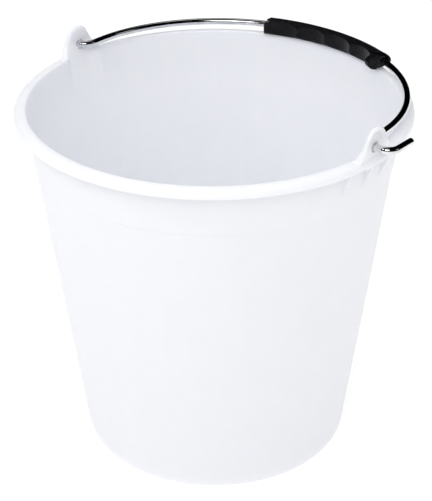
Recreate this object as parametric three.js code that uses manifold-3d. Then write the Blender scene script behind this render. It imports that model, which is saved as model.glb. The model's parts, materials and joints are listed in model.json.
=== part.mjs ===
// A plastic bucket for cut flowers, with a wire bail and a moulded grip.
//
// Millimetres, +Z up. The origin is the centre of the foot, on the plane that the bucket stands on.
// The bail turns about a line along X through its two ears, and lies back over the rim towards +Y.

import * as THREE from 'three';
import { mergeVertices } from 'three/addons/utils/BufferGeometryUtils.js';
import Module from 'manifold-3d';

// ---- Driving dimensions ----

// Bucket wall, a plain cone under a wider collar
const bucketHeight = 294; // foot to the crest of the rim
const baseRadius = 110.9; // outside of the wall, carried down to the floor
const wallTopRadius = 146.6; // outside of the wall, carried up to the crest
const wallThickness = 2;
const collarDepth = 40.5; // crest down to the step that starts the collar
const collarStep = 0.5; // how far the collar stands out from the cone
const collarRamp = 1.6; // height of the step's slope
const roundSegments = 64;
const cornerSteps = 4; // flats round each small corner

// Floor and foot
const footCornerRadius = 2.5;
const floorCornerRadius = 4; // inside, between floor and wall
const footRing = 14.9; // width of the ring that the bucket stands on, wall line in to the recess
const footRecessDepth = 1.5;
const floorThickness = 2.5;

// Rim, a flange that rolls outwards and down
const rimOverhang = 8.4; // wall line out to the lip
const rimThickness = 2.2;
const rimInnerRound = 2.5; // rounding from the inside wall up to the crest
const rimSlopeWidth = 4.4; // stretch on top that falls gently outwards from the crest
const rimSlopeDrop = 0.8; // how far it falls
const rimDrop = 6.6; // crest down to the lip's lower edge

// Ears, one at each end of the bail's axis
const earHeight = 22.2; // crest up to the top of the ear
const earTopRadius = 11.5;
const earBaseHalfWidth = 19.5;
const earThickness = 2.6;
const earInset = 5.5; // lip in to the ear's inner face
const earBeadWidth = 4;
const earBeadDepth = 2; // how far the rolled border stands out from the ear
const earSteps = 5; // flats on each side of an ear's round top
const pivotHeight = 6.6; // crest up to the bail's axis
const pivotClearance = 0.9; // wire to the hole, on the radius
const holeSides = 20;

// Webs under the rim, below each ear
const websPerEar = 3;
const webSpacing = 23;
const webThickness = 1.8;
const webHeight = 28.7; // crest down to the web's lower end

// Bail, one bent steel wire
const wireRadius = 2.75;
const wireSides = 10;
const archInset = 2.5; // inside wall in to the wire's centre line
const archStart = 16.6; // pivot axis to where the arch leaves its straight sides
const archOver = 0.6; // rim's crest out to the wire's centre line, at the top of the arch
const bendEntry = 3; // the bend up to the arch starts this far behind the ear's inner face
const hookBendRadius = 8;
const hookReach = 14.2; // ear's outer face to the hook's centre line
const hookLength = 24.5; // pivot axis to the hook's tip
const archSteps = 44;
const bendSteps = 5;

// Grip, a core with finger grooves under a smooth palm shell
const gripLength = 130; // along the wire
const gripOffset = 3.5; // the grip's middle, from the top of the arch towards +X
const gripHalfWidth = 6.9; // palm shell, across the plane of the bail
const palmClearance = 1.45; // wire out to the inside of the palm shell
const palmShoulder = 3; // wire's centre line in to where the palm starts to round
const palmSkirt = 2.85; // wire in to the palm shell's edge
const palmWall = 1.6;
const partGap = 0.3; // between pieces that are fitted together
const coreInset = 0.8; // palm shell's side in to the core's side
const coreSetback = 0.8; // the core ends this far inside each end of the palm shell
const channelClearance = 0.3; // wire to its channel in the core
const channelLip = 1.2; // wire's centre line out to the channel's edges
const fingerCount = 4;
const fingerPitch = 29.7;
const coreFloor = 4.75; // channel down to the ridge between two finger grooves
const fingerDepth = 1.4; // ridge down to the bottom of a groove
const knobRise = 5.5; // ridge out to the back of the round knob at the +X end
const gripSteps = 28;
const gripArcSteps = 8;
const grooveSides = 72;
const angleStep = 0.05; // degrees, for measuring along the arch

// The bail at rest lies on the rim
const restGap = 0.3;

// ---- Sizes that follow ----

const wallSlope = (wallTopRadius - baseRadius) / bucketHeight;
const wallRadiusAt = (z) => baseRadius + wallSlope * z;
const collarRadiusAt = (z) => wallRadiusAt(z) + collarStep;
const collarBottom = bucketHeight - collarDepth;
const rimRadius = wallTopRadius + rimOverhang;
const rimInnerRadius = collarRadiusAt(bucketHeight) - wallThickness;
const rimCrestRadius = rimInnerRadius + rimInnerRound;
const rimSlopeEnd = rimCrestRadius + rimSlopeWidth;
const rimSlopeEndZ = bucketHeight - rimSlopeDrop;
const rimUnderside = rimSlopeEndZ - rimThickness;
const rimMiddleZ = rimSlopeEndZ - rimThickness / 2;
const lipRound = rimThickness / 2;
const lipMiddle = rimRadius - lipRound;
const lipMiddleZ = bucketHeight - rimDrop + lipRound;
const footRecessRadius = baseRadius - footRing;
const pivotZ = bucketHeight + pivotHeight;
const earInnerFace = rimRadius - earInset;
const earOuterFace = earInnerFace + earThickness;
const archHalfWidth = rimInnerRadius - archInset;
const archRise = rimCrestRadius + archOver - archStart;
const innerBendRadius = earInnerFace + bendEntry - archHalfWidth;
const hookLine = earOuterFace + hookReach;
const channelRadius = wireRadius + channelClearance;
const palmHeight = wireRadius + palmClearance + palmWall;
const palmEdge = wireRadius + palmSkirt;
const fingerLand = channelRadius + coreFloor;
const coreDepth = fingerLand + knobRise;
const coreHalfWidth = gripHalfWidth - coreInset;
const restTilt = Math.asin((gripHalfWidth + restGap - pivotHeight) / rimCrestRadius);

// ---- Helpers ----

const wasm = await Module();
wasm.setup();

// A closed geometry as a solid that can be joined and cut
function solidOf(geometry) {
  const plain = geometry.clone();
  plain.deleteAttribute('normal');
  plain.deleteAttribute('uv');
  const merged = mergeVertices(plain, 1e-4);
  const index = merged.index.array;
  const kept = [];
  for (let i = 0; i < index.length; i += 3) {
    const [a, b, c] = [index[i], index[i + 1], index[i + 2]];
    if (a !== b && b !== c && c !== a) kept.push(a, b, c);
  }
  const vertProperties = new Float32Array(merged.attributes.position.array);
  const triVerts = new Uint32Array(kept);
  return new wasm.Manifold(new wasm.Mesh({ numProp: 3, vertProperties, triVerts }));
}

function geometryOf(solid) {
  const mesh = solid.getMesh();
  const geometry = new THREE.BufferGeometry();
  geometry.setAttribute('position', new THREE.BufferAttribute(new Float32Array(mesh.vertProperties), 3));
  geometry.setIndex(new THREE.BufferAttribute(new Uint32Array(mesh.triVerts), 1));
  geometry.computeVertexNormals();
  return geometry;
}

// Points on an arc, from one angle to another, both in degrees
function arc(centreX, centreY, radiusX, radiusY, from, to, steps) {
  const points = [];
  for (let i = 0; i <= steps; i += 1) {
    const angle = THREE.MathUtils.degToRad(from + ((to - from) * i) / steps);
    points.push(new THREE.Vector2(centreX + radiusX * Math.cos(angle), centreY + radiusY * Math.sin(angle)));
  }
  return points;
}

const point = (x, y) => new THREE.Vector2(x, y);

// A curve through chosen stations, so that a sweep has short steps only where the curve bends
class StationCurve extends THREE.Curve {
  constructor(stations) {
    super();
    this.stations = stations;
  }

  getPointAt(t, target = new THREE.Vector3()) {
    const place = t * (this.stations.length - 1);
    const i = Math.min(Math.floor(place), this.stations.length - 2);
    return target.lerpVectors(this.stations[i], this.stations[i + 1], place - i);
  }

  getTangentAt(t, target = new THREE.Vector3()) {
    const i = Math.round(t * (this.stations.length - 1));
    const before = this.stations[Math.max(i - 1, 0)];
    const after = this.stations[Math.min(i + 1, this.stations.length - 1)];
    return target.subVectors(after, before).normalize();
  }
}

// Sweeps an outline along points in the plane of the bail.
// The outline's x is across that plane, and its y is outwards from the arch.
function sweep(outline, route) {
  const stations = route.map((p) => new THREE.Vector3(p.x, p.y, 0));
  const extrudePath = new StationCurve(stations);
  return new THREE.ExtrudeGeometry(new THREE.Shape(outline), { steps: stations.length - 1, extrudePath });
}

// Extrudes an outline drawn in the YZ plane, from one X to another
function slabAlongX(outline, fromX, toX) {
  const geometry = new THREE.ExtrudeGeometry(new THREE.Shape(outline), {
    depth: toX - fromX,
    bevelEnabled: false,
  });
  const turn = new THREE.Matrix4().makeBasis(
    new THREE.Vector3(0, 1, 0),
    new THREE.Vector3(0, 0, 1),
    new THREE.Vector3(1, 0, 0),
  );
  return geometry.applyMatrix4(turn).translate(fromX, 0, 0);
}

// A piece at the +X end, and the same piece turned half round to the -X end
const atBothEnds = (geometry) => [geometry, geometry.clone().rotateZ(Math.PI)];

// ---- Bucket body ----

// Half section of the wall, floor and rim, from the axis under the floor round to the axis inside
function bucketProfile() {
  const wallAngle = THREE.MathUtils.radToDeg(Math.atan(wallSlope));
  const foot = footCornerRadius;
  const footX = wallRadiusAt(foot) - foot / Math.cos(Math.atan(wallSlope));
  const floor = floorCornerRadius;
  const insideZ = floorThickness + floor;
  const insideX = wallRadiusAt(insideZ) - wallThickness - floor;
  const outerRise = rimSlopeEndZ - lipMiddleZ;
  return [
    point(0, footRecessDepth),
    point(footRecessRadius - footRecessDepth, footRecessDepth),
    point(footRecessRadius, 0),
    ...arc(footX, foot, foot, foot, -90, -wallAngle, cornerSteps),
    point(wallRadiusAt(collarBottom - collarRamp), collarBottom - collarRamp),
    point(collarRadiusAt(collarBottom), collarBottom),
    point(collarRadiusAt(rimUnderside), rimUnderside),
    point(rimSlopeEnd - rimSlopeDrop, rimUnderside),
    ...arc(lipMiddle, lipMiddleZ, lipRound, lipRound, 180, 360, cornerSteps),
    ...arc(rimSlopeEnd, lipMiddleZ, rimRadius - rimSlopeEnd, outerRise, 0, 90, cornerSteps).slice(1),
    ...arc(rimCrestRadius, bucketHeight - rimInnerRound, rimInnerRound, rimInnerRound, 90, 180, cornerSteps),
    point(collarRadiusAt(collarBottom) - wallThickness, collarBottom),
    point(wallRadiusAt(collarBottom - collarRamp) - wallThickness, collarBottom - collarRamp),
    ...arc(insideX, insideZ, floor, floor, -wallAngle, -90, cornerSteps),
    point(footRecessRadius, floorThickness),
    point(footRecessRadius - footRecessDepth, floorThickness + footRecessDepth),
    point(0, floorThickness + footRecessDepth),
  ];
}

function bucketShell() {
  return new THREE.LatheGeometry(bucketProfile(), roundSegments).rotateX(Math.PI / 2);
}

// One side of the ear's outline, from the rim up to the middle of its top, moved in by an inset
function earSide(inset) {
  const centreZ = bucketHeight + earHeight - earTopRadius;
  const bottom = rimMiddleZ;
  const baseHalf = earBaseHalfWidth - inset;
  const topRadius = earTopRadius - inset;
  const reach = Math.hypot(baseHalf, centreZ - bottom);
  const toBase = Math.atan2(bottom - centreZ, baseHalf);
  const tangent = THREE.MathUtils.radToDeg(toBase + Math.acos(topRadius / reach));
  return [point(baseHalf, bottom), ...arc(0, centreZ, topRadius, topRadius, tangent, 90, earSteps)];
}

const mirroredSide = (side) => side.slice(0, -1).reverse().map((p) => point(-p.x, p.y));

function earPlate() {
  const side = earSide(0);
  return slabAlongX([...side, ...mirroredSide(side)], earInnerFace, earOuterFace);
}

// The rolled border that runs up one side of the ear, over its top and down the other
function earBead() {
  const outer = earSide(0);
  const inner = earSide(earBeadWidth);
  const outline = [...outer, ...mirroredSide(outer), ...[...inner, ...mirroredSide(inner)].reverse()];
  return slabAlongX(outline, earOuterFace - earThickness / 2, earOuterFace + earBeadDepth);
}

// A thin triangle that props the rim against the wall
function web(place) {
  const bottom = bucketHeight - webHeight;
  const outline = [
    point(collarRadiusAt(bottom) - wallThickness / 2, bottom),
    point(lipMiddle, lipMiddleZ),
    point(rimSlopeEnd, rimMiddleZ),
    point(collarRadiusAt(rimMiddleZ) - wallThickness / 2, rimMiddleZ),
  ];
  const geometry = new THREE.ExtrudeGeometry(new THREE.Shape(outline), {
    depth: webThickness,
    bevelEnabled: false,
  });
  const angle = place / rimCrestRadius;
  return geometry.translate(0, 0, -webThickness / 2).rotateX(Math.PI / 2).rotateZ(angle);
}

function bucketBody() {
  const additions = [earPlate(), earBead()];
  for (let i = 0; i < websPerEar; i += 1) {
    additions.push(web((i - (websPerEar - 1) / 2) * webSpacing));
  }
  let body = solidOf(bucketShell());
  for (const piece of additions.flatMap(atBothEnds)) body = body.add(solidOf(piece));
  const holeRadius = wireRadius + pivotClearance;
  const hole = new THREE.CylinderGeometry(holeRadius, holeRadius, 2 * hookLine, holeSides);
  hole.rotateZ(Math.PI / 2).translate(0, 0, pivotZ);
  return geometryOf(body.subtract(solidOf(hole)));
}

// ---- Bail wire ----

// Points on the arch by angle: 0 is the start of its +X side, 90 its top, 180 the start of its -X side
function archPoint(degrees) {
  const angle = THREE.MathUtils.degToRad(degrees);
  return point(archHalfWidth * Math.cos(angle), archStart + archRise * Math.sin(angle));
}

// Centre line of the +X end: hook, leg through the ear, and bend up to the arch
function wireEnd() {
  const hookX = hookLine - hookBendRadius;
  const innerX = archHalfWidth + innerBendRadius;
  return [
    point(hookLine, hookLength),
    ...arc(hookX, hookBendRadius, hookBendRadius, hookBendRadius, 0, -90, bendSteps),
    ...arc(innerX, innerBendRadius, innerBendRadius, innerBendRadius, 270, 180, bendSteps),
  ];
}

function bailWire() {
  const end = wireEnd();
  const arch = [];
  for (let i = 0; i <= archSteps; i += 1) arch.push(archPoint((180 * i) / archSteps));
  const route = [...end, ...arch, ...end.map((p) => point(-p.x, p.y)).reverse()];
  const section = arc(0, 0, wireRadius, wireRadius, 0, 360 - 360 / wireSides, wireSides - 1);
  return sweep(section, route.reverse());
}

// ---- Grip ----

// The arch's angle at a distance along it from the grip's middle, positive towards +X
function archAngleAt(distance) {
  const target = gripOffset + distance;
  const direction = Math.sign(target);
  let angle = 90;
  let travelled = 0;
  while (travelled < Math.abs(target)) {
    const next = angle - direction * angleStep;
    travelled += archPoint(angle).distanceTo(archPoint(next));
    angle = next;
  }
  return angle;
}

function gripRoute(from, to) {
  const start = archAngleAt(from);
  const end = archAngleAt(to);
  const route = [];
  for (let i = 0; i <= gripSteps; i += 1) route.push(archPoint(start + ((end - start) * i) / gripSteps));
  return route;
}

// Smooth shell on the palm's side, open towards the fingers
function palmShell() {
  const rise = palmHeight + palmShoulder;
  const innerHalf = gripHalfWidth - palmWall;
  const outline = [
    point(gripHalfWidth, -palmEdge),
    ...arc(0, -palmShoulder, gripHalfWidth, rise, 0, 180, gripArcSteps),
    point(-gripHalfWidth, -palmEdge),
    point(-innerHalf, -palmEdge),
    ...arc(0, -palmShoulder, innerHalf, rise - palmWall, 180, 0, gripArcSteps),
    point(innerHalf, -palmEdge),
  ];
  return sweep(outline, gripRoute(-gripLength / 2, gripLength / 2));
}

// Core section: a neck inside the palm shell, with the wire's channel in its top, over a wider round head
function coreOutline() {
  const neckHalf = gripHalfWidth - palmWall - partGap;
  const neckRise = palmHeight + palmShoulder - palmWall - partGap;
  const shoulder = -(palmEdge + partGap);
  const lipAngle = THREE.MathUtils.radToDeg(Math.asin((channelLip + palmShoulder) / neckRise));
  return [
    point(neckHalf, shoulder),
    ...arc(0, -palmShoulder, neckHalf, neckRise, 0, lipAngle, cornerSteps),
    point(channelRadius, channelLip),
    ...arc(0, 0, channelRadius, channelRadius, 0, -180, gripArcSteps),
    point(-channelRadius, channelLip),
    ...arc(0, -palmShoulder, neckHalf, neckRise, 180 - lipAngle, 180, cornerSteps),
    point(-neckHalf, shoulder),
    point(-coreHalfWidth, shoulder),
    ...arc(0, shoulder, coreHalfWidth, coreDepth + shoulder, 180, 360, gripArcSteps),
  ];
}

// Everything deeper than a distance from the wire, along the stretch that the fingers hold
function fingerStretch(depth, from) {
  const side = 2 * gripHalfWidth;
  const far = 2 * coreDepth;
  const outline = [point(side, -far), point(side, -depth), point(-side, -depth), point(-side, -far)];
  return solidOf(sweep(outline, gripRoute(from - fingerPitch, from + fingerCount * fingerPitch)));
}

// A large cylinder across the bail's plane, whose edge cuts one shallow groove
function fingerGroove(middle) {
  const centre = archPoint(archAngleAt(middle));
  const outward = point(centre.x / archHalfWidth ** 2, (centre.y - archStart) / archRise ** 2).normalize();
  const radius = ((fingerPitch / 2) ** 2 + fingerDepth ** 2) / (2 * fingerDepth);
  const fromWire = fingerLand - fingerDepth + radius;
  const axis = centre.sub(outward.multiplyScalar(fromWire));
  const cylinder = new THREE.CylinderGeometry(radius, radius, 4 * gripHalfWidth, grooveSides);
  return solidOf(cylinder.rotateX(Math.PI / 2).translate(axis.x, axis.y, 0));
}

// The grooves start at the -X end and leave a round knob at the +X end
function gripCore() {
  const start = coreSetback - gripLength / 2;
  const core = solidOf(sweep(coreOutline(), gripRoute(start, -start)));
  let grooves = fingerStretch(fingerLand, start);
  for (let i = 0; i < fingerCount; i += 1) {
    grooves = grooves.add(fingerGroove(start + (i + 0.5) * fingerPitch));
  }
  return geometryOf(core.subtract(grooves.intersect(fingerStretch(0, start))));
}

// ---- Assembly ----

const whitePlastic = { color: 0xeef0f4, roughness: 0.38, metalness: 0 };
const brightSteel = { color: 0xd5d7da, roughness: 0.14, metalness: 1 };
const blackPlastic = { color: 0x17171a, roughness: 0.32, metalness: 0 };

function named(name, geometry, finish) {
  const mesh = new THREE.Mesh(geometry, new THREE.MeshStandardMaterial(finish));
  mesh.name = name;
  return mesh;
}

// Everything on the bail is drawn flat in the XY plane, then raised to the pivot and laid on the rim
const bail = new THREE.Group();
bail.position.z = pivotZ;
bail.rotation.x = restTilt;
bail.add(named('bail_wire', bailWire(), brightSteel));
bail.add(named('grip_palm_shell', palmShell(), blackPlastic));
bail.add(named('grip_finger_core', gripCore(), blackPlastic));

const bucket = new THREE.Group();
bucket.add(named('bucket_body', bucketBody(), whitePlastic));
bucket.add(bail);

export default bucket;
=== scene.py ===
# %% [markdown]
# # A plastic bucket for cut flowers
#
# The bucket is a tapered tub of natural white polyethylene with two ears, a bent wire bail and a black grip.
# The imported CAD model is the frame: it says where everything is and how the bail turns. This script builds
# the fine surfaces and finishes round it. Blender works in metres; the sizes below are in millimetres,
# which is how a toolmaker would write them, and `MM` turns one into the other.

# %% Load the frame
import json
import math

import bmesh
import bpy
import numpy as np
from mathutils import Matrix, Vector


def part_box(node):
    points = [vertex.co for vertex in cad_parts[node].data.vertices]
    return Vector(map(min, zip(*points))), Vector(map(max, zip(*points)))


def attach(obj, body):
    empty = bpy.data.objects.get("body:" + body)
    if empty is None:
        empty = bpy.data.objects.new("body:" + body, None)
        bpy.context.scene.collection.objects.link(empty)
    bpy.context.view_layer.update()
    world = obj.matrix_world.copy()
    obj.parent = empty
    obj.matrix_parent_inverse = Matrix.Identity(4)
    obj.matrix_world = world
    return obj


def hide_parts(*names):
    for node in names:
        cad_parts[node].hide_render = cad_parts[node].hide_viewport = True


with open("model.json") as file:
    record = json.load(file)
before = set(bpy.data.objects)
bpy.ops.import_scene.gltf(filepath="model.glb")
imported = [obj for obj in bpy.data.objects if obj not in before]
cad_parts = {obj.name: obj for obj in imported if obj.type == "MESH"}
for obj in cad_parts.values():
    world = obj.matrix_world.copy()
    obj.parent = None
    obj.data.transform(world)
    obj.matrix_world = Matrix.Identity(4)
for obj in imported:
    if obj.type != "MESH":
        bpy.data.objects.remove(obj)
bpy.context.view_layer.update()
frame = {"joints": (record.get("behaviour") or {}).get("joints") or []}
MM = 0.001

# %% [markdown]
# ## Camera
#
# The bucket is seen from a person's height, looking about 30 degrees down, with the bail's axis turned
# 41 degrees to the view. A long lens from more than a metre away keeps the sides nearly parallel. The camera
# is set by its direction from the bucket, so its place follows from an azimuth, an elevation and a distance.

# %% Camera
view_azimuth = math.radians(41.4)
view_elevation = math.radians(30.316)
view_distance = 1125.9 * MM
aim_height = 157.7 * MM
camera_roll = math.radians(-0.327)
lens = 97.93
sideways_shift = 0.0024

back = Vector((
    math.sin(view_azimuth) * math.cos(view_elevation),
    -math.cos(view_azimuth) * math.cos(view_elevation),
    math.sin(view_elevation),
))
level_right = Vector((math.cos(view_azimuth), math.sin(view_azimuth), 0))
level_up = back.cross(level_right)
right = level_right * math.cos(camera_roll) + level_up * math.sin(camera_roll)
up = back.cross(right)

camera = bpy.data.objects.new("camera", bpy.data.cameras.new("camera"))
camera.data.lens = lens
camera.data.sensor_width = 36
camera.data.shift_x = sideways_shift
camera.matrix_world = Matrix.Translation(Vector((0, 0, aim_height)) + back * view_distance) @ Matrix(
    (right, up, back)
).transposed().to_4x4()
bpy.context.scene.collection.objects.link(camera)
bpy.context.scene.camera = camera
print("camera at", [round(c, 3) for c in camera.location])

# %% [markdown]
# ## Main sizes
#
# A few sizes drive everything. Those that the frame already knows are read from it: the rim's radius, the
# top of the ears, the bail's axis and the reach of its hooks. The rest are the moulding's own details.

# %% Sizes taken from the frame
_, body_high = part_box("bucket_body")
_, wire_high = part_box("bail_wire")
pivot_z = frame["joints"][0]["pos_m"][2] / MM
pivot_height = 6.6
crest_z = pivot_z - pivot_height
rim_radius = body_high.y / MM
ear_height = body_high.z / MM - crest_z
wire_radius = 2.75
hook_line = wire_high.x / MM - wire_radius
print(f"rim radius {rim_radius:.1f}, crest {crest_z:.1f}, ear {ear_height:.1f}, hook line {hook_line:.1f} mm")

# %% [markdown]
# ## Small helpers
#
# Most pieces here are grids: rows of points joined by four-sided faces. One helper turns a grid into a mesh
# and merges points that fall together, which closes the seam round the bucket and the poles on its axis.

# %% Helpers for meshes
merge_distance = 0.002


def mesh_object(name, points, faces, smooth=True):
    mesh = bpy.data.meshes.new(name)
    mesh.from_pydata([tuple(p * MM for p in point) for point in points], [], faces)
    piece = bpy.data.objects.new(name, mesh)
    bpy.context.scene.collection.objects.link(piece)
    work = bmesh.new()
    work.from_mesh(mesh)
    bmesh.ops.remove_doubles(work, verts=work.verts, dist=merge_distance * MM)
    work.to_mesh(mesh)
    work.free()
    if smooth:
        mesh.shade_smooth()
    return piece


def grid_faces(columns, rows, wrap_columns=False, wrap_rows=False, first=0):
    """Faces between neighbouring points of a grid whose points are stored column by column."""
    faces = []
    for c in range(columns if wrap_columns else columns - 1):
        next_c = (c + 1) % columns
        for r in range(rows if wrap_rows else rows - 1):
            next_r = (r + 1) % rows
            faces.append((
                first + c * rows + r,
                first + next_c * rows + r,
                first + next_c * rows + next_r,
                first + c * rows + next_r,
            ))
    return faces


def outward_normals(piece):
    work = bmesh.new()
    work.from_mesh(piece.data)
    bmesh.ops.recalc_face_normals(work, faces=work.faces)
    work.to_mesh(piece.data)
    work.free()


def smooth_step(value, start, end):
    t = np.clip((value - start) / (end - start), 0, 1)
    return t * t * (3 - 2 * t)


def smooth_max(a, b, width):
    """The larger of two values, with a rounded corner where they cross."""
    overlap = np.maximum(width - np.abs(a - b), 0) / width
    return np.maximum(a, b) + overlap * overlap * width / 4


def arc_points(centre, radii, start, end, count):
    """Points on an ellipse's arc from one angle to another, in degrees."""
    angles = np.radians(np.linspace(start, end, count))
    return np.stack([centre[0] + radii[0] * np.cos(angles), centre[1] + radii[1] * np.sin(angles)], axis=-1)


def apply_modifiers(piece):
    """Bakes the live modifiers into the mesh, so that the piece is plain again."""
    bpy.context.view_layer.update()
    evaluated = piece.evaluated_get(bpy.context.evaluated_depsgraph_get())
    mesh = bpy.data.meshes.new_from_object(evaluated)
    piece.modifiers.clear()
    piece.data = mesh
    return piece


# %% [markdown]
# ## The bucket's half section
#
# The tub is an injection moulding with one thickness nearly all over: a cone, a slightly wider collar near
# the top, a rim that rolls outwards, and a floor that is recessed so that it stands on a ring. It could be
# one curve spun round the axis, but the ears grow out of the rim with soft fillets that a spun curve can't
# have. So every column of the mesh gets its own section: the same list of rows, in which the rows over the
# crest are lifted into an ear where there is one.

# %% Sizes of the moulding
base_radius = 110.9
wall_top_radius = 146.6
wall = 2.0
collar_bottom = crest_z - 40.5
collar_step = 0.5
collar_ramp = 1.6
inner_step = 0.3
inner_ramp = 6.0
foot_round = 2.5
floor_round = 4.0
floor_thickness = 2.5
recess_radius = 96.0
recess_depth = 1.5
gate_radius = 3.0
gate_height = 0.7
rim_thickness = 2.2
rim_depth = 6.6
lip_round = rim_thickness / 2
lip_z = crest_z - rim_depth + lip_round
rim_underside = crest_z - 3.0
rim_fillet = 2.0
crest_radius = 146.8
crest_round = 1.7
seat_radius = 147.6

wall_slope = (wall_top_radius - base_radius) / crest_z
wall_angle = math.degrees(math.atan(wall_slope))


def outer_radius(z):
    """Outside of the cone and its collar at a height."""
    widening = collar_step * smooth_step(z, collar_bottom - collar_ramp, collar_bottom)
    return base_radius + wall_slope * z + widening


def inner_radius(z):
    """The inside follows the cone, and widens at the collar more gently than the outside."""
    widening = inner_step * smooth_step(z, collar_bottom - inner_ramp, collar_bottom)
    return base_radius + wall_slope * z + widening - wall


print(f"wall leans {wall_angle:.2f} degrees; inside top radius {inner_radius(crest_z):.1f} mm")

# %% Rows from the middle of the underside up to the lip
def wall_heights(low_z, high_z):
    """Heights that are close together at the collar's step and wide apart elsewhere."""
    return np.concatenate([
        np.linspace(low_z, collar_bottom - inner_ramp, 14),
        np.linspace(collar_bottom - inner_ramp, collar_bottom - collar_ramp, 4)[1:],
        np.linspace(collar_bottom - collar_ramp, collar_bottom, 7)[1:],
        np.linspace(collar_bottom, high_z, 6)[1:],
    ])


def outside_rows():
    """Rows from the middle of the underside, over the foot and up the wall, to the lip of the rim."""
    foot_x = outer_radius(foot_round) - foot_round / math.cos(math.radians(wall_angle))
    heights = wall_heights(foot_round * 1.1, rim_underside - rim_fillet)
    fillet_centre = (outer_radius(rim_underside) + rim_fillet, rim_underside - rim_fillet)
    recess_start = (gate_radius + 1, recess_depth)
    recess_end = (recess_radius - 2 * recess_depth, recess_depth)
    hollow_start = (rim_radius - 5, rim_underside)
    hollow_end = (rim_radius - 3.6, rim_underside - 0.4)
    return np.concatenate([
        arc_points((0, recess_depth), (gate_radius, -gate_height), 90, 0, 5),
        np.linspace(recess_start, recess_end, 8),
        arc_points((recess_radius - recess_depth, 0), (recess_depth, recess_depth), 90, 20, 5),
        np.linspace((recess_radius + 0.6, 0), (foot_x - 0.4, 0), 4),
        arc_points((foot_x, foot_round), (foot_round, foot_round), -90, -wall_angle, 7),
        np.stack([outer_radius(heights), heights], axis=-1)[1:],
        arc_points(fillet_centre, (rim_fillet, rim_fillet), 180, 90, 6)[1:],
        np.linspace(hollow_start, hollow_end, 2),
        arc_points((rim_radius - lip_round, lip_z), (lip_round, lip_round), 180, 360, 9),
    ])


def inside_rows(top_z):
    """Rows from a height on the inside wall down to the middle of the inside floor."""
    floor_z = floor_thickness + recess_depth
    inside_z = floor_z + floor_round
    inside_x = inner_radius(inside_z) - floor_round
    heights = wall_heights(inside_z, top_z)[::-1]
    return np.concatenate([
        np.stack([inner_radius(heights), heights], axis=-1)[1:],
        arc_points((inside_x, inside_z), (floor_round, floor_round), -wall_angle, -90, 7)[1:],
        np.linspace((inside_x - floor_round, floor_z), (0, floor_z), 9),
    ])


# %% [markdown]
# ## The ears
#
# Each ear is a flat tab that rises from the rim, with its edge rolled outwards like the rim itself. Three
# small rules make it: an outline (a round top, straight sides, a fillet at the foot), a roll that depends
# only on the distance to that outline, and a blend from the plain rim to the tab as the outline leaves the
# crest.

# %% Outline of an ear
ear_face = 149.5
ear_back = 152.1
ear_edge = 152.2
ear_bead = 154.0
ear_round = 11.8
ear_base_half = 18.9
ear_fillet = 8.0
roll_width = 3.4
bead_peak = 1.7
bead_width = 4.4
ear_zone = 27.0


def ear_outline(u):
    """Height of the ear's edge over the crest, at a distance along the rim from the ear's middle."""
    centre = ear_height - ear_round
    reach = math.hypot(ear_base_half, centre)
    touch = math.atan2(-centre, ear_base_half) + math.acos(ear_round / reach)
    touch_u, touch_z = ear_round * math.cos(touch), centre + ear_round * math.sin(touch)
    slope = touch_z / (ear_base_half - touch_u)
    away = np.abs(u)
    dome = centre + np.sqrt(np.maximum(ear_round**2 - away**2, 0))
    sides = touch_z - (away - touch_u) * slope
    return smooth_max(np.where(away < touch_u, dome, sides), 0, ear_fillet)


outline_u = np.linspace(-ear_zone, ear_zone, 541)
outline_z = ear_outline(outline_u)


def distance_to_outline(u, height):
    across = u[..., None] - outline_u
    along = height[..., None] - outline_z
    return np.sqrt((across**2 + along**2).min(axis=-1))


print(f"ear is {2 * ear_base_half:.0f} mm wide at its foot and {ear_height:.1f} mm high")

# %% Rim and ear, outside and inside
outer_count = 44
inner_count = 36
blend_height = 6.0
inner_run = 30.0
recess_share = 0.25
recess_top = 11.0
flange_fall = 4.0
join_width = 3.0
rim_curve_ends = np.array([
    (rim_radius, lip_z),
    (rim_radius, lip_z + 3.7),
    (rim_radius - 3.1, crest_z),
    (crest_radius, crest_z),
])


def rim_curve(t):
    """The rolled outside of the rim: a curve from the lip (0) to the crest (1) with two handles."""
    t = np.asarray(t)[..., None]
    a, b, c, d = rim_curve_ends
    return a * (1 - t) ** 3 + 3 * b * t * (1 - t) ** 2 + 3 * c * t**2 * (1 - t) + d * t**3


def rim_outer(share):
    return rim_curve(np.sin(share * math.pi / 2))


def rim_inner(share):
    """From the crest round the inner edge and down the wall."""
    round_length = crest_round * math.pi / 2
    total = round_length + inner_run - crest_round
    run = total * (1 - np.cos(share * math.pi / 2))
    angle = math.pi / 2 + np.minimum(run, round_length) / crest_round
    below = np.maximum(run - round_length, 0)
    z = crest_z - crest_round + crest_round * np.sin(angle) - below
    centre = inner_radius(crest_z - crest_round) + crest_round
    r = centre + crest_round * np.cos(angle) - wall_slope * below
    return np.stack([r, z], axis=-1)


def quarter_round(distance, width):
    """Rises from 0 at the edge to 1 at a distance of one width, as a quarter of a circle does."""
    return np.sqrt(np.maximum(1 - (1 - np.minimum(distance / width, 1)) ** 2, 0))


def ear_outer_rows(u, height, flat):
    """Outside of every column as if it were all ear: the rim's flange, then the tab with its bead."""
    share = np.linspace(0, 1, outer_count)
    z = lip_z + (crest_z + height - lip_z)[:, None] * np.sin(share * math.pi / 2)
    d = distance_to_outline(np.broadcast_to(u[:, None], z.shape), z - crest_z)
    curve = rim_curve(np.linspace(0, 1, 200))
    flange = np.interp(z, curve[:, 1], curve[:, 0]) - flange_fall * np.maximum(z - crest_z, 0)
    rising = ear_edge + (ear_bead - ear_edge) * quarter_round(d, bead_peak)
    falling = smooth_step(d, bead_peak, bead_width)
    tab = (rising + (ear_back - ear_bead) * falling) * flat
    joined = smooth_max(flange, tab, join_width)
    r = flange + (joined - flange) * smooth_step(z, lip_z, lip_z + 2)
    return np.stack([r, z], axis=-1)


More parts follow.
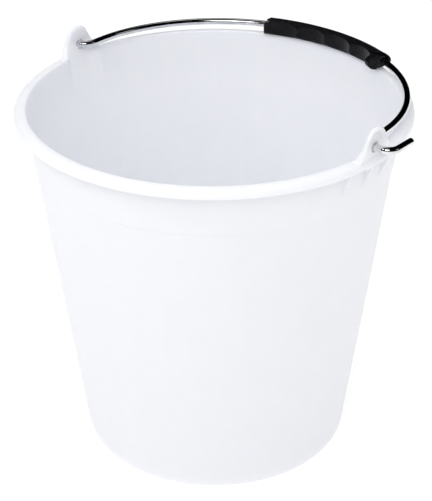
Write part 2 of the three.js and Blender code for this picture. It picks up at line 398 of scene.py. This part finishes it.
def ear_inner_rows(u, height, flat, edge_radius):
    """Inside of every column as if it were all ear: it leaves the wall slowly and ends in the rolled edge."""
    share = np.linspace(0, 1, inner_count)
    bottom = crest_z - inner_run
    drop = 1 - np.cos(share * math.pi / 2)
    z = (crest_z + height)[:, None] - (crest_z + height - bottom)[:, None] * drop
    d = distance_to_outline(np.broadcast_to(u[:, None], z.shape), z - crest_z)
    lean = recess_share * smooth_step(z, bottom, rim_underside)
    lean = lean + (1 - recess_share) * smooth_step(z, rim_underside - 1, crest_z + recess_top)
    base = inner_radius(bottom) + wall_slope * (np.minimum(z, crest_z) - bottom) * (1 - lean)
    base = base + (ear_face * flat - inner_radius(bottom)) * lean
    roll = 1 - quarter_round(d, roll_width)
    r = base + (ear_edge - ear_face) * flat * roll
    r[:, 0] = edge_radius
    return np.stack([r, z], axis=-1)


def ear_sections(u, turn):
    """Outer and inner rows of every column as if it were all ear."""
    height = ear_outline(u)
    flat = 1 / np.cos(turn)[:, None]
    outer = ear_outer_rows(u, height, flat)
    return outer, ear_inner_rows(u, height, flat, outer[:, -1, 0])


# %% Columns round the bucket
def column_angles():
    """Close together at the ears, about two degrees apart elsewhere."""
    half = math.atan(ear_zone / ear_face)
    fine = np.linspace(-half, half, 130)
    coarse = np.linspace(half, math.pi - half, 84)[1:-1]
    half_turn = np.concatenate([fine, coarse])
    return np.concatenate([half_turn, half_turn + math.pi])


def bucket_shell():
    angles = column_angles()
    turn = (angles + math.pi / 2) % math.pi - math.pi / 2
    near = np.abs(turn) < math.radians(20)
    u = np.where(near, ear_face * np.tan(np.where(near, turn, 0)), ear_zone)
    turn = np.where(near, turn, 0)
    outer, inner = ear_sections(u, turn)
    ear_share = smooth_step(ear_outline(u), 0, blend_height)[:, None, None]
    outer = rim_outer(np.linspace(0, 1, outer_count)) * (1 - ear_share) + outer * ear_share
    inner = rim_inner(np.linspace(0, 1, inner_count)) * (1 - ear_share) + inner * ear_share
    below = np.broadcast_to(outside_rows(), (len(angles), len(outside_rows()), 2))
    inside = inside_rows(crest_z - inner_run)
    inside = np.broadcast_to(inside, (len(angles), len(inside), 2))
    section = np.concatenate([below, outer[:, 1:], inner[:, 1:], inside], axis=1)
    rows = section.shape[1]
    points = np.stack([
        section[..., 0] * np.cos(angles)[:, None],
        section[..., 0] * np.sin(angles)[:, None],
        section[..., 1],
    ], axis=-1)
    print(f"bucket grid: {len(angles)} columns of {rows} rows")
    faces = grid_faces(len(angles), rows, wrap_columns=True)
    return mesh_object("bucket_moulding", points.reshape(-1, 3), faces)


bucket = bucket_shell()

# %% [markdown]
# ## Webs under the rim
#
# Below each ear three thin webs prop the rim against the wall, because that is where the bail pulls. They
# repeat at an even angle, which is what Geometry Nodes are for: one web is modelled, the tree puts a copy at
# each place, and the copies are then joined to the tub.

# %% Node helpers
def add_node(tree, kind, inputs=None, **settings):
    """Adds a node, sets its options, and fills inputs with values or links."""
    node = tree.nodes.new(kind)
    for key, value in settings.items():
        setattr(node, key, value)
    for key, value in (inputs or {}).items():
        socket = node.inputs[key]
        if isinstance(value, bpy.types.NodeSocket):
            tree.links.new(value, socket)
        else:
            socket.default_value = value
    return node


def geometry_tree(name, sizes):
    """A Geometry Nodes tree with a geometry input, a material input and named sizes."""
    tree = bpy.data.node_groups.new(name, "GeometryNodeTree")
    tree.is_modifier = True
    tree.interface.new_socket("Geometry", in_out="INPUT", socket_type="NodeSocketGeometry")
    for label, (kind, _) in sizes.items():
        tree.interface.new_socket(label, in_out="INPUT", socket_type=kind)
    tree.interface.new_socket("Material", in_out="INPUT", socket_type="NodeSocketMaterial")
    tree.interface.new_socket("Geometry", in_out="OUTPUT", socket_type="NodeSocketGeometry")
    return tree, tree.nodes.new("NodeGroupInput"), tree.nodes.new("NodeGroupOutput")


def run_tree(piece, tree, sizes, material):
    """Puts the tree on a piece, sets each input by its identifier, and keeps the plain result."""
    modifier = piece.modifiers.new(tree.name, "NODES")
    modifier.node_group = tree
    for item in tree.interface.items_tree:
        if item.in_out == "INPUT" and item.name in sizes:
            modifier[item.identifier] = sizes[item.name][1]
        if item.in_out == "INPUT" and item.name == "Material":
            modifier[item.identifier] = material
    return apply_modifiers(piece)


def math_node(tree, operation, first, second=0.0):
    return add_node(tree, "ShaderNodeMath", {0: first, 1: second}, operation=operation).outputs[0]


# %% One web, then six by Geometry Nodes
web_thickness = 1.8
web_taper = 0.5
web_reach = 28.7
web_gap = 23.0
web_spacing = math.degrees(web_gap / seat_radius)


def web_piece():
    bottom = crest_z - web_reach
    rim_middle = crest_z - 1.9
    outline = [
        (outer_radius(bottom) - wall / 2, bottom),
        (outer_radius(bottom) + 0.5, bottom + 0.4),
        (rim_radius - 2.0, lip_z - 0.4),
        (rim_radius - lip_round, lip_z + 0.4),
        (rim_radius - 4, rim_middle),
        (outer_radius(rim_middle) - wall / 2, rim_middle),
    ]
    halves = [web_thickness / 2] + [web_thickness / 2 - web_taper / 2] * 4 + [web_thickness / 2]
    left = [(r, -half, z) for (r, z), half in zip(outline, halves)]
    right = [(r, half, z) for (r, z), half in zip(outline, halves)]
    count = len(outline)
    sides = [(i, (i + 1) % count, (i + 1) % count + count, i + count) for i in range(count)]
    faces = [tuple(range(count)), tuple(reversed(range(count, 2 * count)))]
    faces += [tuple(reversed(side)) for side in sides]
    piece = mesh_object("rim_webs", left + right, faces, smooth=False)
    outward_normals(piece)
    return piece


web_sizes = {
    "Webs per ear": ("NodeSocketInt", 3),
    "Ears": ("NodeSocketInt", 2),
    "Spacing": ("NodeSocketFloat", web_spacing),
}
web_tree, web_in, web_out = geometry_tree("webs_round_the_rim", web_sizes)
copies = math_node(web_tree, "MULTIPLY", web_in.outputs["Webs per ear"], web_in.outputs["Ears"])
places = add_node(web_tree, "GeometryNodePoints", {"Count": copies})
index = add_node(web_tree, "GeometryNodeInputIndex").outputs[0]
which_ear = math_node(web_tree, "FLOOR", math_node(web_tree, "DIVIDE", index, web_in.outputs["Webs per ear"]))
which_web = math_node(web_tree, "MODULO", index, web_in.outputs["Webs per ear"])
middle = math_node(web_tree, "DIVIDE", math_node(web_tree, "SUBTRACT", web_in.outputs["Webs per ear"], 1), 2)
from_middle = math_node(web_tree, "SUBTRACT", which_web, middle)
step = math_node(web_tree, "MULTIPLY", from_middle, web_in.outputs["Spacing"])
ear_pitch = math_node(web_tree, "DIVIDE", 360, web_in.outputs["Ears"])
ear_turn = math_node(web_tree, "MULTIPLY", which_ear, ear_pitch)
total_turn = math_node(web_tree, "RADIANS", math_node(web_tree, "ADD", step, ear_turn))
rotation = add_node(web_tree, "ShaderNodeCombineXYZ", {"Z": total_turn})
copied = add_node(web_tree, "GeometryNodeInstanceOnPoints", {
    "Points": places.outputs[0],
    "Instance": web_in.outputs["Geometry"],
    "Rotation": rotation.outputs[0],
})
real = add_node(web_tree, "GeometryNodeRealizeInstances", {"Geometry": copied.outputs[0]})
finished = add_node(web_tree, "GeometryNodeSetMaterial", {
    "Geometry": real.outputs[0],
    "Material": web_in.outputs["Material"],
})
web_tree.links.new(finished.outputs[0], web_out.inputs["Geometry"])
webs = run_tree(web_piece(), web_tree, web_sizes, None)
print("webs:", len(webs.data.polygons), "faces")

# %% [markdown]
# ## Pivot holes
#
# The bail's legs turn in a plain hole through each ear. A cutter that flares at both faces of the ear cuts
# the hole and rounds its edges in one go. The webs are joined in the same step, so that the tub is one closed
# body.

# %% Join the webs and cut the holes
pivot_play = 0.9
hole_radius = wire_radius + pivot_play
hole_flare = 0.6


def hole_cutter():
    """A long round bar along X, wider where it meets each face of an ear."""
    entry = [0, ear_face - 1, ear_face + 0.1, ear_face + hole_flare]
    half = np.array(entry + [ear_back - hole_flare, ear_back, hook_line])
    radius = hole_radius + hole_flare * np.array([1, 1, 0.6, 0, 0, 0.6, 1])
    along = np.concatenate([-half[:0:-1], half])
    radii = np.concatenate([radius[:0:-1], radius])
    around = np.radians(np.arange(0, 360, 10))
    points = [(x, r * math.cos(a), pivot_z + r * math.sin(a)) for a in around for x, r in zip(along, radii)]
    rows = len(along)
    faces = grid_faces(len(around), rows, wrap_columns=True)
    faces.append(tuple(c * rows for c in range(len(around))))
    faces.append(tuple(c * rows + rows - 1 for c in reversed(range(len(around)))))
    piece = mesh_object("hole_cutter", points, faces)
    outward_normals(piece)
    return piece


def combine(piece, other, operation):
    modifier = piece.modifiers.new(operation.lower(), "BOOLEAN")
    modifier.operation = operation
    modifier.object = other
    modifier.solver = "MANIFOLD"
    apply_modifiers(piece)
    bpy.data.objects.remove(other)


combine(bucket, webs, "UNION")
combine(bucket, hole_cutter(), "DIFFERENCE")
bucket.data.shade_smooth()
bucket.data.set_sharp_from_angle(angle=math.radians(38))
print("bucket:", len(bucket.data.polygons), "faces")

# %% [markdown]
# ## The bail
#
# One steel wire makes the arch, the two legs through the ears and the hooks that keep them there. Its shape
# is a path with a round section, so Geometry Nodes sweep it: the path is a chain of points, the tree gives it
# a radius, rounds the cut ends and wraps a circle round it.

# %% Path of the wire
grip_half_width = 6.9
rest_gap = 0.3
rest_tilt = math.asin((grip_half_width + rest_gap - pivot_height) / seat_radius)
arch_half = inner_radius(crest_z) - 2.5
arch_start = 16.6
arch_top = wire_high.y / MM / math.cos(rest_tilt) - wire_radius
arch_rise = arch_top - arch_start
inner_bend = ear_face + 3 - arch_half
hook_bend = 8.0
hook_length = 24.5
far_hook_length = 19.5


def arch_point(degrees):
    """On the arch: 0 is the start of its +X side, 90 its top and 180 the start of its -X side."""
    angle = np.radians(degrees)
    return np.stack([arch_half * np.cos(angle), arch_start + arch_rise * np.sin(angle)], axis=-1)


def in_bail_plane(points, height=0.0):
    """Lays flat points in the plane that the bail rests in, which turns about the pivot line."""
    x, y = points[..., 0], points[..., 1]
    lifted = np.broadcast_to(height, y.shape)
    return np.stack([
        x,
        y * math.cos(rest_tilt) - lifted * math.sin(rest_tilt),
        pivot_z + y * math.sin(rest_tilt) + lifted * math.cos(rest_tilt),
    ], axis=-1)


def wire_end(tip_height):
    """From a hook's tip through the ear to the start of the arch, on the +X side."""
    tip = np.array([(hook_line, tip_height - step) for step in (0, 0.1, 0.25, 0.45, 0.7, 1.0)])
    hook = arc_points((hook_line - hook_bend, hook_bend), (hook_bend, hook_bend), 0, -90, 14)
    bend = arc_points((arch_half + inner_bend, inner_bend), (inner_bend, inner_bend), 270, 180, 14)
    return np.concatenate([tip, hook, bend])


def wire_path():
    arch = arch_point(np.linspace(0, 180, 150))
    far_end = wire_end(far_hook_length)[::-1] * (-1, 1)
    return in_bail_plane(np.concatenate([wire_end(hook_length), arch, far_end]))


path = wire_path()
length = np.linalg.norm(np.diff(path, axis=0), axis=1).sum()
print(f"wire is {length:.0f} mm long and rests at {math.degrees(rest_tilt):.2f} degrees")

# %% [markdown]
# ## Finishes
#
# Every finish is made from noise at the real scale of what it stands for. The white plastic is slightly
# see-through, so light scatters under its surface; its colour clouds a little where the melt flowed, and its
# gloss is broken by handling. Object coordinates are metres here, so a noise scale of 100 makes blotches
# about a centimetre wide.

# %% Material helpers
def start_material(name, **principled):
    """A material with its Principled shader and object coordinates; settings go straight on the shader."""
    material = bpy.data.materials.new(name)
    material.use_nodes = True
    tree = material.node_tree
    shader = tree.nodes["Principled BSDF"]
    for label, value in principled.items():
        shader.inputs[label.replace("_", " ")].default_value = value
    coordinates = tree.nodes.new("ShaderNodeTexCoord").outputs["Object"]
    return material, tree, shader, coordinates


def noise(tree, coordinates, scale, detail=3.0, roughness=0.5, stretch=None, turn=None):
    """Cloudy noise, stretched or turned where the pattern has a direction."""
    if stretch or turn:
        mapping = add_node(tree, "ShaderNodeMapping", {"Vector": coordinates})
        mapping.inputs["Scale"].default_value = stretch or (1, 1, 1)
        mapping.inputs["Rotation"].default_value = [math.radians(a) for a in turn or (0, 0, 0)]
        coordinates = mapping.outputs[0]
    node = add_node(tree, "ShaderNodeTexNoise", {
        "Vector": coordinates, "Scale": scale, "Detail": detail, "Roughness": roughness,
    })
    return node.outputs[0]


def remap(tree, value, low_in, high_in, low_out, high_out):
    return add_node(tree, "ShaderNodeMapRange", {
        "Value": value, "From Min": low_in, "From Max": high_in, "To Min": low_out, "To Max": high_out,
    }).outputs[0]


def mix_colours(tree, share, first, second):
    node = add_node(tree, "ShaderNodeMix", data_type="RGBA")
    for socket, value in ((node.inputs[0], share), (node.inputs[6], first), (node.inputs[7], second)):
        if isinstance(value, bpy.types.NodeSocket):
            tree.links.new(value, socket)
        else:
            socket.default_value = value
    return node.outputs[2]


def bump(tree, shader, layers):
    """Stacks bumps: each layer is a height, its depth in metres and its strength."""
    normal = None
    for height, depth, strength in layers:
        inputs = {"Height": height, "Distance": depth, "Strength": strength}
        if normal is not None:
            inputs["Normal"] = normal
        normal = add_node(tree, "ShaderNodeBump", inputs).outputs[0]
    tree.links.new(normal, shader.inputs["Normal"])


# %% White polyethylene
def white_polyethylene():
    material, tree, shader, at = start_material(
        "white_polyethylene", IOR=1.5, Subsurface_Weight=0.7, Subsurface_Scale=0.008,
    )
    shader.inputs["Subsurface Radius"].default_value = (1.0, 1.05, 1.2)
    clouds = noise(tree, at, 48, detail=6, roughness=0.68)
    flow = noise(tree, at, 30, detail=3, stretch=(1, 1, 0.12))
    scuffs = noise(tree, at, 55, detail=6, roughness=0.7, stretch=(1, 1, 0.09), turn=(38, 12, 0))
    specks = noise(tree, at, 420, detail=2)
    cloudy = remap(tree, clouds, 0.3, 0.7, 0, 1)
    body = mix_colours(tree, cloudy, (0.872, 0.880, 0.938, 1), (0.892, 0.899, 0.950, 1))
    flowed = mix_colours(tree, remap(tree, flow, 0.35, 0.7, 0, 0.3), body, (0.905, 0.910, 0.955, 1))
    rubbed = remap(tree, scuffs, 0.60, 0.70, 0, 0.5)
    colour = mix_colours(tree, rubbed, flowed, (0.92, 0.925, 0.96, 1))
    tree.links.new(colour, shader.inputs["Base Color"])
    gloss = remap(tree, clouds, 0.3, 0.7, 0.30, 0.42)
    rough = math_node(tree, "ADD", gloss, math_node(tree, "MULTIPLY", rubbed, 0.25))
    tree.links.new(rough, shader.inputs["Roughness"])
    bump(tree, shader, [(clouds, 0.0006, 0.25), (scuffs, 0.00012, 0.3), (specks, 0.00005, 0.25)])
    return material


# %% Bright wire
def bright_wire():
    material, tree, shader, at = start_material("bright_wire", Metallic=1.0)
    drawn = noise(tree, at, 240, detail=4, stretch=(0.12, 1, 1))
    dull = noise(tree, at, 90, detail=3)
    dulled = remap(tree, dull, 0.35, 0.7, 0, 1)
    colour = mix_colours(tree, dulled, (0.86, 0.865, 0.87, 1), (0.66, 0.665, 0.68, 1))
    tree.links.new(colour, shader.inputs["Base Color"])
    tree.links.new(remap(tree, drawn, 0.3, 0.7, 0.07, 0.2), shader.inputs["Roughness"])
    bump(tree, shader, [(drawn, 0.00004, 0.35)])
    return material


# %% Black moulded plastic
def black_moulding(name, low_gloss, high_gloss):
    material, tree, shader, at = start_material(name, IOR=1.5, Specular_IOR_Level=0.16)
    clouds = noise(tree, at, 130, detail=3)
    grain = noise(tree, at, 1500, detail=3)
    wear = noise(tree, at, 260, detail=5, roughness=0.7)
    worn = remap(tree, wear, 0.55, 0.75, 0, 1)
    colour = mix_colours(tree, worn, (0.005, 0.005, 0.006, 1), (0.013, 0.013, 0.014, 1))
    tree.links.new(colour, shader.inputs["Base Color"])
    tree.links.new(remap(tree, clouds, 0.3, 0.7, low_gloss, high_gloss), shader.inputs["Roughness"])
    bump(tree, shader, [(clouds, 0.0002, 0.15), (grain, 0.00003, 0.3)])
    return material


white_plastic = white_polyethylene()
wire_finish = bright_wire()
palm_finish = black_moulding("black_palm_plastic", 0.14, 0.26)
finger_finish = black_moulding("black_finger_plastic", 0.13, 0.24)
bucket.data.materials.clear()
bucket.data.materials.append(white_plastic)

# %% Sweep the wire with Geometry Nodes
wire_sizes = {
    "Wire radius": ("NodeSocketFloat", wire_radius * MM),
    "End rounding": ("NodeSocketFloat", 1.0 * MM),
    "Sides": ("NodeSocketInt", 24),
}
wire_tree, wire_in, wire_out = geometry_tree("bent_wire", wire_sizes)
chain = add_node(wire_tree, "GeometryNodeMeshToCurve", {"Mesh": wire_in.outputs["Geometry"]})
along = add_node(wire_tree, "GeometryNodeSplineParameter").outputs["Length"]
total = add_node(wire_tree, "GeometryNodeSplineLength").outputs["Length"]
from_end = math_node(wire_tree, "MINIMUM", along, math_node(wire_tree, "SUBTRACT", total, along))
inward = math_node(wire_tree, "DIVIDE", from_end, wire_in.outputs["End rounding"])
short = math_node(wire_tree, "SUBTRACT", 1, math_node(wire_tree, "MINIMUM", inward, 1))
flat_share = math_node(wire_tree, "SUBTRACT", 1, math_node(wire_tree, "MULTIPLY", short, short))
rounded = math_node(wire_tree, "SQRT", math_node(wire_tree, "MAXIMUM", flat_share, 0))
full = math_node(wire_tree, "ADD", math_node(wire_tree, "MULTIPLY", rounded, 0.4), 0.6)
sized = add_node(wire_tree, "GeometryNodeSetCurveRadius", {"Curve": chain.outputs[0], "Radius": full})
circle = add_node(wire_tree, "GeometryNodeCurvePrimitiveCircle", {
    "Resolution": wire_in.outputs["Sides"],
    "Radius": wire_in.outputs["Wire radius"],
})
swept = add_node(wire_tree, "GeometryNodeCurveToMesh", {
    "Curve": sized.outputs[0],
    "Profile Curve": circle.outputs[0],
    "Fill Caps": True,
})
merged = add_node(wire_tree, "GeometryNodeRealizeInstances", {"Geometry": swept.outputs[0]})
coated = add_node(wire_tree, "GeometryNodeSetMaterial", {
    "Geometry": merged.outputs[0],
    "Material": wire_in.outputs["Material"],
})
wire_tree.links.new(coated.outputs[0], wire_out.inputs["Geometry"])

chain_mesh = bpy.data.meshes.new("bent_bail_wire")
links = [(i, i + 1) for i in range(len(path) - 1)]
chain_mesh.from_pydata([tuple(p * MM for p in point) for point in path], links, [])
bail = bpy.data.objects.new("bent_bail_wire", chain_mesh)
bpy.context.scene.collection.objects.link(bail)
run_tree(bail, wire_tree, wire_sizes, wire_finish)
bail.data.shade_smooth()
bail.data.set_sharp_from_angle(angle=math.radians(50))
print("wire:", len(bail.data.polygons), "faces,", [round(d / MM, 1) for d in bail.dimensions])

# %% [markdown]
# ## The grip
#
# The black grip is in two parts that clip over the wire: a smooth shell for the palm, and a core with four
# dished finger grooves. Both follow the arch, so each is a section carried along it. The grooves are not
# drawn on: the core's round back is cut by a shallower curve at each finger, and the arches appear where the
# two surfaces cross.

# %% Along the grip
grip_length = 130.0
grip_offset = 3.5
arch_angles = np.linspace(180, 0, 3601)
arch_line = arch_point(arch_angles)
arch_run = np.concatenate([[0], np.cumsum(np.linalg.norm(np.diff(arch_line, axis=0), axis=1))])
grip_middle = np.interp(-90, -arch_angles, arch_run) + grip_offset


def at_station(s, outward, across):
    """A point of the grip: s along the wire from the grip's middle, outward from it, and across the bail."""
    angle = np.interp(grip_middle + s, arch_run, arch_angles)
    centre = arch_point(angle)
    normal = np.stack([np.cos(np.radians(angle)) / arch_half, np.sin(np.radians(angle)) / arch_rise], axis=-1)
    normal /= np.linalg.norm(normal, axis=-1, keepdims=True)
    return in_bail_plane(centre + normal * outward[..., None], across)


# %% Palm shell
palm_wall = 1.6
palm_clearance = 1.45
palm_skirt = 2.85
palm_height = wire_radius + palm_clearance + palm_wall
palm_shoulder = 3.0
palm_edge = wire_radius + palm_skirt
end_round = 4.5
corner_low = 2.5
corner_high = 6.0
beak_reach = 0.3
beak_slant = 9.0
beak_flare = 0.8
flare_run = 12.0


def start_setback(across):
    """How far the start of the grip is set back: only its upper corner is rounded."""
    return end_round * smooth_step(across, corner_low, corner_high)


def palm_section(inset):
    """Half of a rounded arch over the wire, from one edge to the other; returns outward and across."""
    half = grip_half_width - inset
    rise = palm_height + palm_shoulder - inset
    skirt = np.linspace(-palm_edge, -palm_shoulder, 5)[:-1]
    crown = arc_points((0, -palm_shoulder), (half, rise), 0, 180, 33)
    outward = np.concatenate([skirt, crown[:, 1], skirt[::-1]])
    across = np.concatenate([np.full(len(skirt), half), crown[:, 0], np.full(len(skirt), -half)])
    return outward, across


def thick_sheet(name, outer, inner):
    """Closes two matching grids into a solid wall: both faces, both long edges and both ends."""
    columns, rows = outer.shape[:2]
    size = columns * rows
    points = np.concatenate([outer.reshape(-1, 3), inner.reshape(-1, 3)])
    faces = grid_faces(columns, rows)
    faces += [tuple(reversed(face)) for face in grid_faces(columns, rows, first=size)]
    for c in range(columns - 1):
        for r in (0, rows - 1):
            a, b = c * rows + r, (c + 1) * rows + r
            faces.append((a, a + size, b + size, b))
    for r in range(rows - 1):
        for c in (0, columns - 1):
            a, b = c * rows + r, c * rows + r + 1
            faces.append((a, a + size, b + size, b))
    piece = mesh_object(name, points, faces)
    outward_normals(piece)
    return piece


def soften_edges(piece, width, angle=40):
    """A small round on every sharp edge, as a mould leaves it."""
    modifier = piece.modifiers.new("soft_edges", "BEVEL")
    modifier.width = width * MM
    modifier.segments = 3
    modifier.limit_method = "ANGLE"
    modifier.angle_limit = math.radians(angle)
    modifier.harden_normals = False
    apply_modifiers(piece)
    piece.data.shade_smooth()


def palm_shell():
    stations = np.linspace(0, 1, 90)
    sheets = []
    for inset in (0.0, palm_wall):
        outward, across = palm_section(inset)
        high = np.clip((outward + palm_edge) / (palm_height + palm_edge), 0, 1)
        start = -grip_length / 2 + start_setback(across)
        end = grip_length / 2 + beak_reach - beak_slant * (1 - high)
        s = start[None, :] + (end - start)[None, :] * stations[:, None]
        flare = beak_flare * smooth_step(s, grip_length / 2 - flare_run, grip_length / 2 + 1) * high
        sheets.append(at_station(s, outward + flare, np.broadcast_to(across, s.shape)))
    return thick_sheet("grip_palm_half", *sheets)


palm = palm_shell()
soften_edges(palm, 0.45)
palm.data.materials.append(palm_finish)
print("palm shell:", len(palm.data.polygons), "faces")

# %% Finger core
part_gap = 0.3
channel = wire_radius + 0.3
channel_lip = 1.2
core_half = grip_half_width - 0.8
core_setback = 0.4
core_start = 0.8
groove_shift = 2.6
groove_edge = 0.7
body_depth = 9.2
ridge_depth = 8.8
groove_depth = 2.5
knob_depth = 14.6
knob_free = 20.0
finger_count = 4
finger_pitch = 29.7


def core_back_depth(s, across):
    """How deep the core's back is below the wire, at a place along it and across it."""
    start = core_start - grip_length / 2 + groove_shift
    knob_start = start + finger_count * finger_pitch
    knob = smooth_step(s, knob_start - 0.4, knob_start + 1.8)
    round_share = np.sqrt(np.maximum(1 - (across / core_half) ** 2, 0))
    shoulder = palm_edge + part_gap
    body = shoulder + (body_depth - shoulder + (knob_depth - body_depth) * knob) * round_share
    place = np.clip((s - start) / finger_pitch, 0, finger_count)
    in_groove = 2 * (place - np.floor(place)) - 1
    cut = ridge_depth - groove_depth * (1 - in_groove**2) + knob_free * knob
    return -smooth_max(-body, -cut, groove_edge)


def finger_core():
    neck_half = grip_half_width - palm_wall - part_gap
    neck_rise = palm_height + palm_shoulder - palm_wall - part_gap
    lip = math.degrees(math.asin((channel_lip + palm_shoulder) / neck_rise))
    right_neck = arc_points((0, -palm_shoulder), (neck_half, neck_rise), 0, lip, 6)
    trough = arc_points((0, 0), (channel, channel), 0, -180, 16)
    left_neck = arc_points((0, -palm_shoulder), (neck_half, neck_rise), 180 - lip, 180, 6)
    shoulder = -(palm_edge + part_gap)
    front = np.concatenate([
        [(neck_half, shoulder)], right_neck, [(channel, channel_lip)], trough, [(-channel, channel_lip)],
        left_neck, [(-neck_half, shoulder)],
    ])
    across_back = core_half * np.cos(np.radians(np.linspace(180, 360, 49)))
    across = np.concatenate([front[:, 0], across_back])
    start = core_start - grip_length / 2 + start_setback(across)
    end = grip_length / 2 - core_setback
    columns = []
    for share in np.linspace(0, 1, 240):
        s = start + (end - start) * share
        back_outward = -core_back_depth(s[len(front):], across_back)
        columns.append(at_station(s, np.concatenate([front[:, 1], back_outward]), across))
    grid = np.array(columns)
    count, rows = grid.shape[:2]
    faces = grid_faces(count, rows, wrap_rows=True)
    faces.append(tuple(range(rows)))
    faces.append(tuple(reversed(range((count - 1) * rows, count * rows))))
    piece = mesh_object("grip_finger_half", grid.reshape(-1, 3), faces)
    outward_normals(piece)
    return piece


core = finger_core()
soften_edges(core, 0.35)
core.data.materials.append(finger_finish)
print("finger core:", len(core.data.polygons), "faces")

# %% [markdown]
# ## Riding on the frame
#
# Each piece is told which CAD body it moves with, and the CAD solid that it stands for is hidden. The tub
# stays still; the wire and both halves of the grip swing with the bail.

# %% Tie the pieces to the bodies
for piece, body, node, finish in (
    (bucket, "bucket", "bucket_body", "white_plastic"),
    (bail, "bail", "bail_wire", "bright_wire"),
    (palm, "bail", "grip_palm_shell", "black_plastic"),
    (core, "bail", "grip_finger_core", "black_plastic"),
):
    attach(piece, body)
    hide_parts(node)

# %% [markdown]
# ## Studio
#
# A plain pale floor, a large soft light in front, weaker ones at both sides and behind, and a sky glow that
# grows brighter overhead, so that light also falls into the bucket. The sky is hidden from reflections: the
# dark that the wire and the grip reflect in its place is what makes them look bright and black.

# %% Floor and lights
floor_half = 6.0
aim_at = Vector((0, 0, 0.15))
floor_mesh = bpy.data.meshes.new("studio_floor")
corners = [(-floor_half, -floor_half, 0), (floor_half, -floor_half, 0)]
corners += [(floor_half, floor_half, 0), (-floor_half, floor_half, 0)]
floor_mesh.from_pydata(corners, [], [(0, 1, 2, 3)])
floor = bpy.data.objects.new("studio_floor", floor_mesh)
bpy.context.scene.collection.objects.link(floor)
floor_paint, _, floor_shader, _ = start_material("studio_white", Roughness=0.9)
floor_shader.inputs["Base Color"].default_value = (0.45, 0.45, 0.45, 1)
floor_shader.inputs["Specular IOR Level"].default_value = 0.1
floor_shader.inputs["Emission Color"].default_value = (1, 1, 1, 1)
floor_shader.inputs["Emission Strength"].default_value = 0.62
floor.data.materials.append(floor_paint)


def soft_light(name, around, elevation, distance, size, power):
    """A square softbox aimed at the bucket, at an angle round it from where the camera stands."""
    turn = view_azimuth + math.radians(around)
    tilt = math.radians(elevation)
    direction = Vector((math.sin(turn) * math.cos(tilt), -math.cos(turn) * math.cos(tilt), math.sin(tilt)))
    lamp = bpy.data.lights.new(name, "AREA")
    lamp.shape = "SQUARE"
    lamp.size = size
    lamp.energy = power
    light = bpy.data.objects.new(name, lamp)
    light.location = direction * distance + aim_at
    light.rotation_euler = direction.to_track_quat("Z", "Y").to_euler()
    bpy.context.scene.collection.objects.link(light)
    return light


soft_light("key_front", -14, 43, 2.8, 1.2, 16)
soft_light("side_left", -78, 32, 2.8, 0.8, 3)
soft_light("fill_right", 72, 30, 2.8, 0.7, 1)
soft_light("top_back", 185, 60, 2.6, 0.9, 2)
soft_light("sparkle", -54, 54, 2.4, 0.12, 5)

world = bpy.data.worlds.new("studio_glow")
world.use_nodes = True
bpy.context.scene.world = world
sky = world.node_tree
direction = add_node(sky, "ShaderNodeTexCoord").outputs["Generated"]
height = add_node(sky, "ShaderNodeSeparateXYZ", {0: direction}).outputs["Z"]
glow = remap(sky, height, 0.0, 0.9, 0.36, 1.04)
seen_directly = add_node(sky, "ShaderNodeLightPath").outputs["Is Camera Ray"]
sky.links.new(math_node(sky, "MAXIMUM", glow, seen_directly), sky.nodes["Background"].inputs["Strength"])
world.cycles_visibility.glossy = False
sky.nodes["Background"].inputs["Color"].default_value = (0.97, 0.98, 1.0, 1)

bpy.context.scene.view_settings.view_transform = "Standard"
